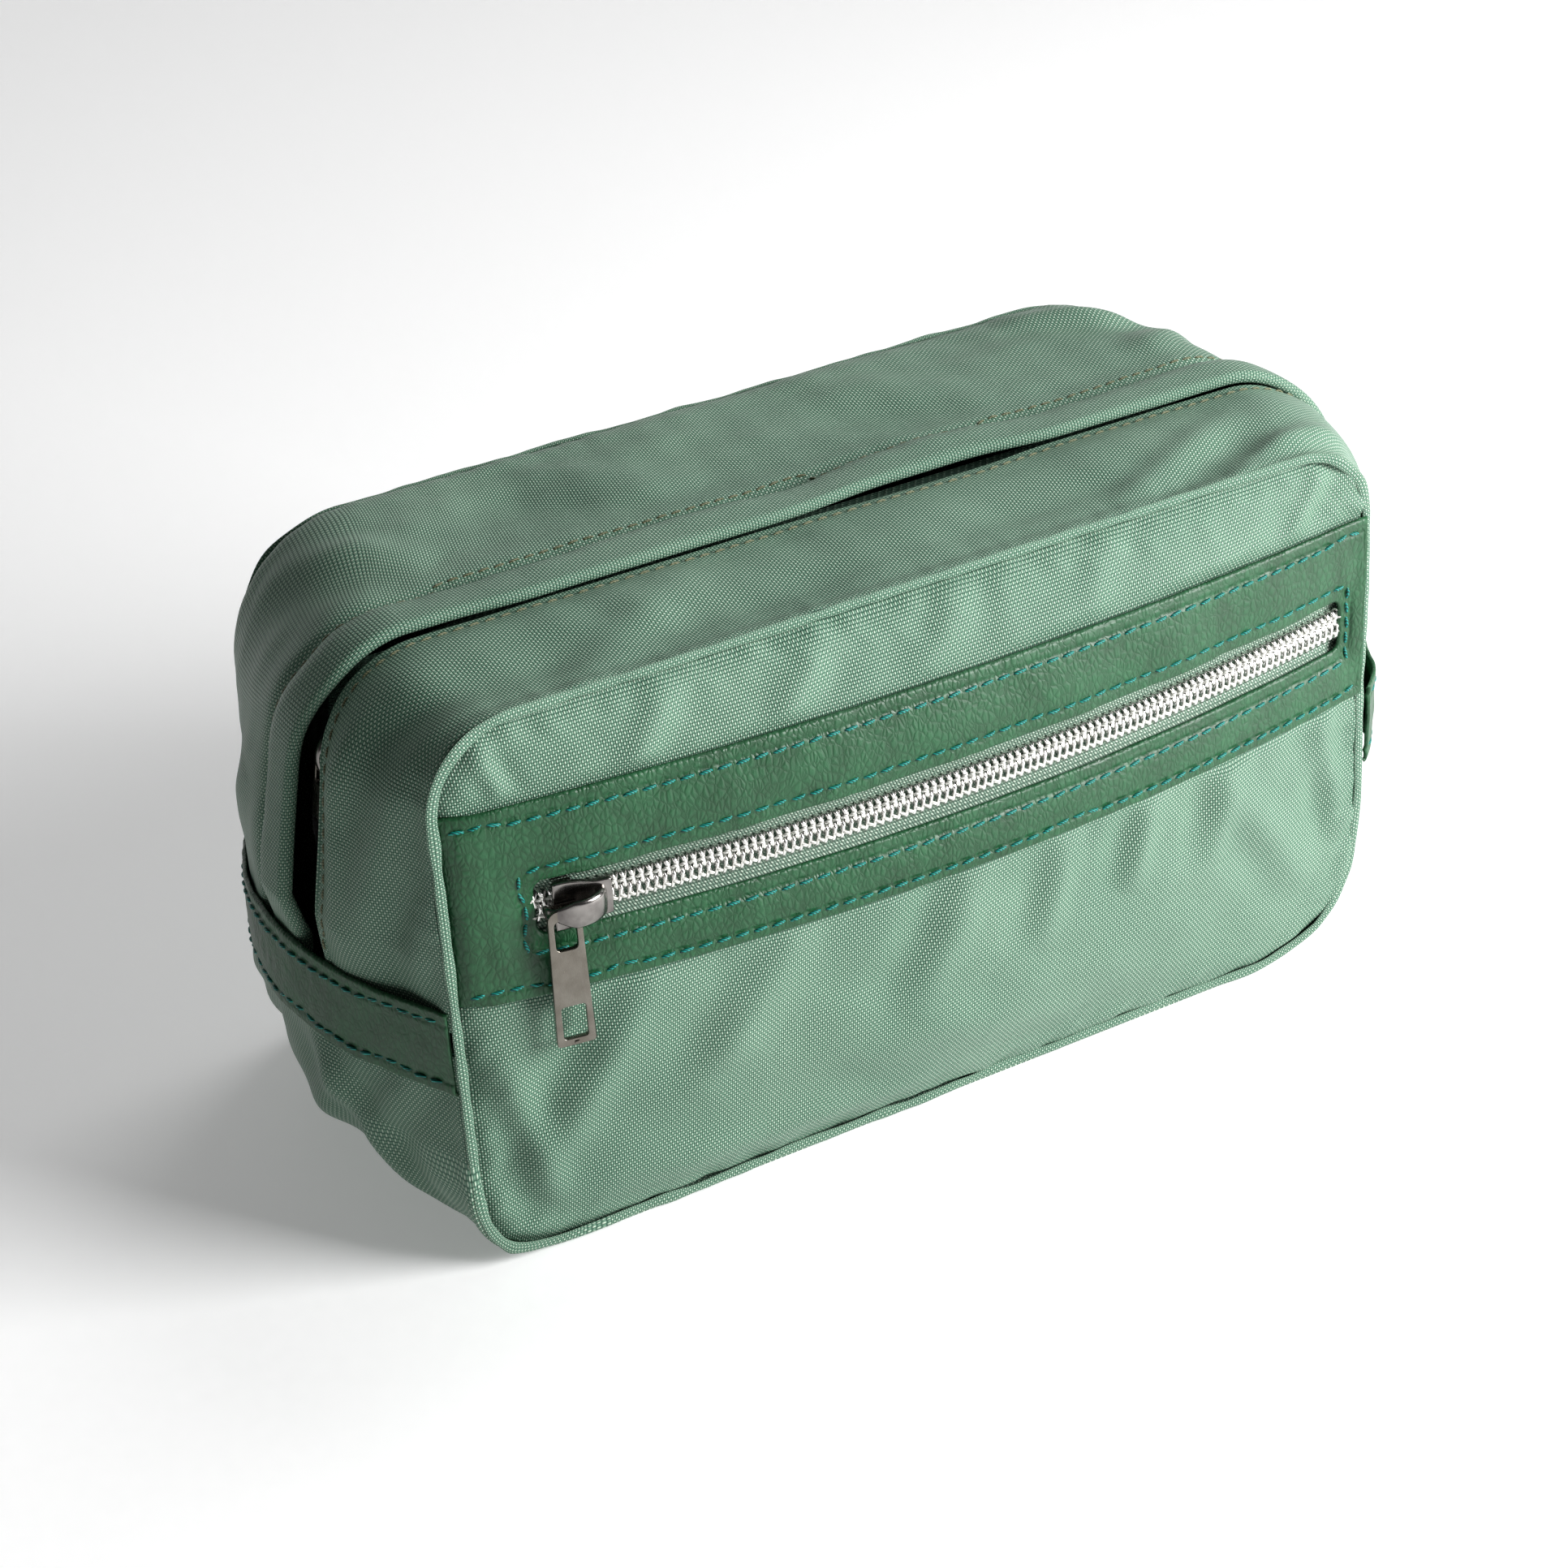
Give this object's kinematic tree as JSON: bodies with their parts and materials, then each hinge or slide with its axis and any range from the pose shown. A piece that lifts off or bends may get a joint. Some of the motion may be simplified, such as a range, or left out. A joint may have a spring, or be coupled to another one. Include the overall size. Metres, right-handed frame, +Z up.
{
  "type": "wash bag",
  "caption": "Soft green wash bag with leather bands, a zipped front pocket and a main zip over the top that opens between two lips.",
  "frame": {"origin": "centre of the flat base, under the middle of the bag's box", "axes": "+Z up, +X along the bag's length towards its right end, the pocket faces -Y"},
  "size_m": [0.2416, 0.115, 0.1163],
  "materials": {
    "fabric": "woven matt polyester with a soft sheen",
    "leather": "grained, satin",
    "tape": "twill tape",
    "dark_tape": "dark twill tape",
    "coil": "silver metallised coil",
    "slider_metal": "polished dark nickel",
    "pull_metal": "satin nickel",
    "teal_thread": "stitching thread",
    "olive_thread": "stitching thread",
    "lining": "plain dark lining"
  },
  "bodies": {
    "bag": {"back_lip_left_end": "fabric", "back_lip_right_end": "fabric", "back_lip_thread_left": "olive_thread", "back_lip_thread_right": "olive_thread", "back_panel": "fabric", "back_rim": "fabric", "back_seam_binding": "lining", "bottom_gusset": "fabric", "facing_thread_lower": "teal_thread", "facing_thread_upper": "teal_thread", "front_lip_left_end": "fabric", "front_lip_right_end": "fabric", "front_lip_thread_left": "olive_thread", "front_lip_thread_right": "olive_thread", "front_lower_panel": "fabric", "front_rim": "fabric", "front_seam_binding": "lining", "front_upper_panel": "fabric", "left_band_thread_lower": "teal_thread", "left_band_thread_upper": "teal_thread", "left_end_band": "leather", "lining_tub": "lining", "main_tape_back_left": "dark_tape", "main_tape_back_right": "dark_tape", "main_tape_front_left": "dark_tape", "main_tape_front_right": "dark_tape", "main_teeth_back_left": "coil", "main_teeth_back_right": "coil", "main_teeth_front_left": "coil", "main_teeth_front_right": "coil", "pocket_facing": "leather", "pocket_pouch": "lining", "pocket_tape_lower": "tape", "pocket_tape_upper": "tape", "pocket_teeth_lower": "coil", "pocket_teeth_upper": "coil", "right_band_thread_lower": "teal_thread", "right_band_thread_upper": "teal_thread", "right_end_band": "leather", "window_thread": "teal_thread"},
    "front_flap": {"front_lip_top": "fabric", "main_tape_front_top": "dark_tape", "main_teeth_front_top": "coil", "front_lip_thread_top": "olive_thread"},
    "back_flap": {"back_lip_top": "fabric", "main_tape_back_top": "dark_tape", "main_teeth_back_top": "coil", "back_lip_thread_top": "olive_thread"},
    "main_slider": {"main_slider_body": "slider_metal", "main_slider_crown": "slider_metal", "main_lock_spring": "slider_metal"},
    "main_pull": {"main_pull": "pull_metal"},
    "pocket_slider": {"pocket_slider_body": "slider_metal", "pocket_slider_crown": "slider_metal", "pocket_lock_spring": "slider_metal"},
    "pocket_pull": {"pocket_pull": "pull_metal"}
  },
  "joints": [
    {"name": "front_flap_hinge", "type": "hinge", "parent": "bag", "child": "front_flap", "pos_m": [-0.00458, -0.0445, 0.115], "axis": [1, 0, 0], "range_deg": [0, 95]},
    {"name": "back_flap_hinge", "type": "hinge", "parent": "bag", "child": "back_flap", "pos_m": [-0.00458, 0.0495, 0.115], "axis": [-1, 0, 0], "range_deg": [0, 95]},
    {"name": "main_slider_travel", "type": "slide", "parent": "bag", "child": "main_slider", "axis": [-0.1698, 0, -0.9855], "range_m": [0, 0.024]},
    {"name": "main_pull_hinge", "type": "hinge", "parent": "main_slider", "child": "main_pull", "pos_m": [-0.11038, -0.011, 0.09759], "axis": [0, 1, 0], "range_deg": [0, 100]},
    {"name": "pocket_slider_travel", "type": "hinge", "parent": "bag", "child": "pocket_slider", "pos_m": [-0.00458, 0.42235, 0.0766], "axis": [0, 0, 1], "range_deg": [0, 19.4]},
    {"name": "pocket_pull_hinge", "type": "hinge", "parent": "pocket_slider", "child": "pocket_pull", "pos_m": [-0.08474, -0.05152, 0.0766], "axis": [-0.9871, 0.1598, 0], "range_deg": [0, 160]}
  ]
}
